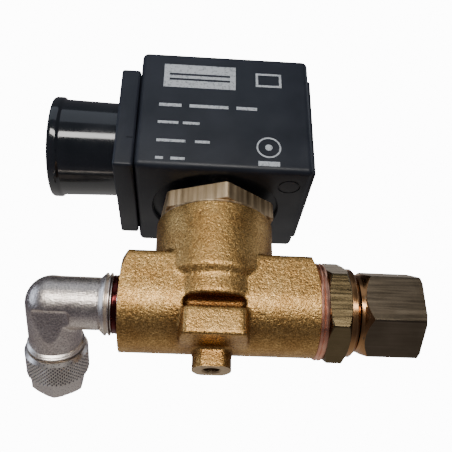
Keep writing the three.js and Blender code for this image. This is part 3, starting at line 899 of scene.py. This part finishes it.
def paint_hidden():
    """Gives the CAD's own inner pieces their materials."""
    skins = (
        (RUBBER, ("bonnet_seal", "plunger_seal", "piston_seal")),
        (STEEL, ("enclosing_tube", "plunger", "yoke", "cutting_ring")),
        (BRASS, ("piston",)),
        (WHITE, ("piston_ring", "bobbin")),
        (COPPER, ("winding",)),
    )
    for skin, names in skins:
        for name in names:
            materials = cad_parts[name].data.materials
            materials.clear()
            materials.append(skin)


build_body()
build_bonnet()
build_coil_nut()
build_coil_washer()
build_core()
build_coil_case()
build_coil_lid()
build_connector_plate()
build_shroud()
build_terminals()
build_print()
build_elbow()
build_sealant()
build_hose_nut()
build_sealing_washer()
build_adaptor()
build_union_nut()
build_spring("plunger_spring", PLUNGER["spring"], PLUNGER["seat"], CORE["bottom"] - GAP, PLUNGER["turns"],
             PLUNGER["lift"])
build_spring("piston_spring", PISTON["spring"], PISTON["seat"], PISTON["stop"], PISTON["turns"],
             PISTON["lift"])
paint_hidden()


# ---------------------------------------------------------------- floor, light and camera, in metres

def build_floor():
    """A pale floor far below the valve, lit by itself so that it neither shades nor colours the metal."""
    reach, z = 9, -0.6
    corners = [(-reach, -reach, z), (reach, -reach, z), (reach, reach, z), (-reach, reach, z)]
    floor = new_object("floor", corners, [(0, 1, 2, 3)])
    skin = Skin("floor_paint", 0.0, specular=0.2)
    shade = skin.grain(3, 3)
    skin.colour(skin.ramp(shade, (0.3, (0.72, 0.72, 0.72)), (0.7, (0.76, 0.76, 0.76))))
    skin.roughness(skin.spread(shade, 0.7, 0.85))
    skin.shader.inputs["Emission Color"].default_value = (1, 1, 1, 1)
    skin.shader.inputs["Emission Strength"].default_value = 3.2
    floor.data.materials.append(skin.material)
    floor.visible_glossy = False
    floor.visible_diffuse = False


def outward(azimuth, elevation):
    """The direction from the valve to a place around it. Angles are in radians."""
    return Vector((math.sin(azimuth) * math.cos(elevation), -math.cos(azimuth) * math.cos(elevation),
                   math.sin(elevation)))


def area_light(name, azimuth, elevation, distance, width, height, power, colour=(1, 1, 1), roll=0.0):
    """A soft panel that faces the valve. Azimuth 0 is in front, 90 is on the right."""
    data = bpy.data.lights.new(name, "AREA")
    data.shape = "RECTANGLE"
    data.size, data.size_y = width, height
    data.energy = power
    data.color = colour
    lamp = bpy.data.objects.new(name, data)
    SCENE.collection.objects.link(lamp)
    out = outward(math.radians(azimuth), math.radians(elevation))
    lamp.location = Vector((0, 0, 0.03)) + out * distance
    lamp.rotation_mode = "QUATERNION"
    lamp.rotation_quaternion = (-out).to_track_quat("-Z", "Y") @ Quaternion((0, 0, 1), math.radians(roll))
    lamp.visible_camera = False


def build_world():
    """White to the eye; as light, a dim room in front and a pale surface behind."""
    room_light, white_to_eye = 0.8, 16
    world = bpy.data.worlds.new("studio")
    SCENE.world = world
    world.use_nodes = True
    nodes, links = world.node_tree.nodes, world.node_tree.links
    nodes.clear()
    direction = nodes.new("ShaderNodeTexCoord").outputs["Generated"]
    back_and_down = nodes.new("ShaderNodeVectorMath")
    back_and_down.operation = "DOT_PRODUCT"
    back_and_down.inputs[1].default_value = (0, 0.8, -0.6)
    links.new(direction, back_and_down.inputs[0])
    shift = nodes.new("ShaderNodeMapRange")
    shift.inputs["From Min"].default_value = -1
    shift.inputs["From Max"].default_value = 1
    links.new(back_and_down.outputs["Value"], shift.inputs["Value"])
    ramp = nodes.new("ShaderNodeValToRGB")
    set_stops(ramp, (
        (0.0, (0.13, 0.14, 0.165)), (0.3, (0.11, 0.11, 0.125)), (0.7, (0.12, 0.115, 0.14)),
        (0.8, (0.27, 0.25, 0.27)), (1.0, (0.7, 0.68, 0.66)),
    ))
    links.new(shift.outputs["Result"], ramp.inputs["Fac"])
    ambient = nodes.new("ShaderNodeBackground")
    ambient.inputs["Strength"].default_value = room_light
    links.new(ramp.outputs["Color"], ambient.inputs["Color"])
    white = nodes.new("ShaderNodeBackground")
    white.inputs["Strength"].default_value = white_to_eye
    path = nodes.new("ShaderNodeLightPath")
    choose = nodes.new("ShaderNodeMixShader")
    links.new(path.outputs["Is Camera Ray"], choose.inputs["Fac"])
    links.new(ambient.outputs["Background"], choose.inputs[1])
    links.new(white.outputs["Background"], choose.inputs[2])
    output = nodes.new("ShaderNodeOutputWorld")
    links.new(choose.outputs["Shader"], output.inputs["Surface"])


def build_camera():
    """A camera where the photo's was: below the valve, looking up. Distances are in millimetres."""
    azimuth, elevation, roll = (math.radians(d) for d in (-3.704, -29.028, 0.713))
    distance, across, above = 173.316, 3.528, 21.83
    back = outward(azimuth, elevation)
    right = Vector((math.cos(azimuth), math.sin(azimuth), 0))
    up = back.cross(right)
    tilted_right = right * math.cos(roll) + up * math.sin(roll)
    tilted_up = up * math.cos(roll) - right * math.sin(roll)
    place = (back * distance + tilted_right * across + tilted_up * above) * SCALE
    data = bpy.data.cameras.new("camera")
    data.sensor_width = 36
    data.lens = 51.706
    data.clip_start, data.clip_end = 0.01, 20
    camera = bpy.data.objects.new("camera", data)
    SCENE.collection.objects.link(camera)
    turned = Matrix((tilted_right, tilted_up, back)).transposed().to_4x4()
    camera.matrix_world = Matrix.Translation(place) @ turned
    SCENE.camera = camera


build_floor()
area_light("front_strip", -4, -3, 0.9, 0.8, 0.19, 7.2, (1, 0.97, 0.925), -12)
area_light("front_sky", -18, 46, 1.0, 1.0, 0.65, 1.25, (0.8, 0.88, 1))
area_light("left_fill", -80, 10, 1.0, 0.4, 0.8, 2.6, (0.66, 0.78, 1))
area_light("right_fill", 95, 30, 1.0, 0.5, 0.8, 1.1, (0.8, 0.88, 1))
area_light("rear_fill", 175, 35, 1.1, 0.9, 0.7, 1.2, (1, 0.9, 0.76))
build_world()
build_camera()
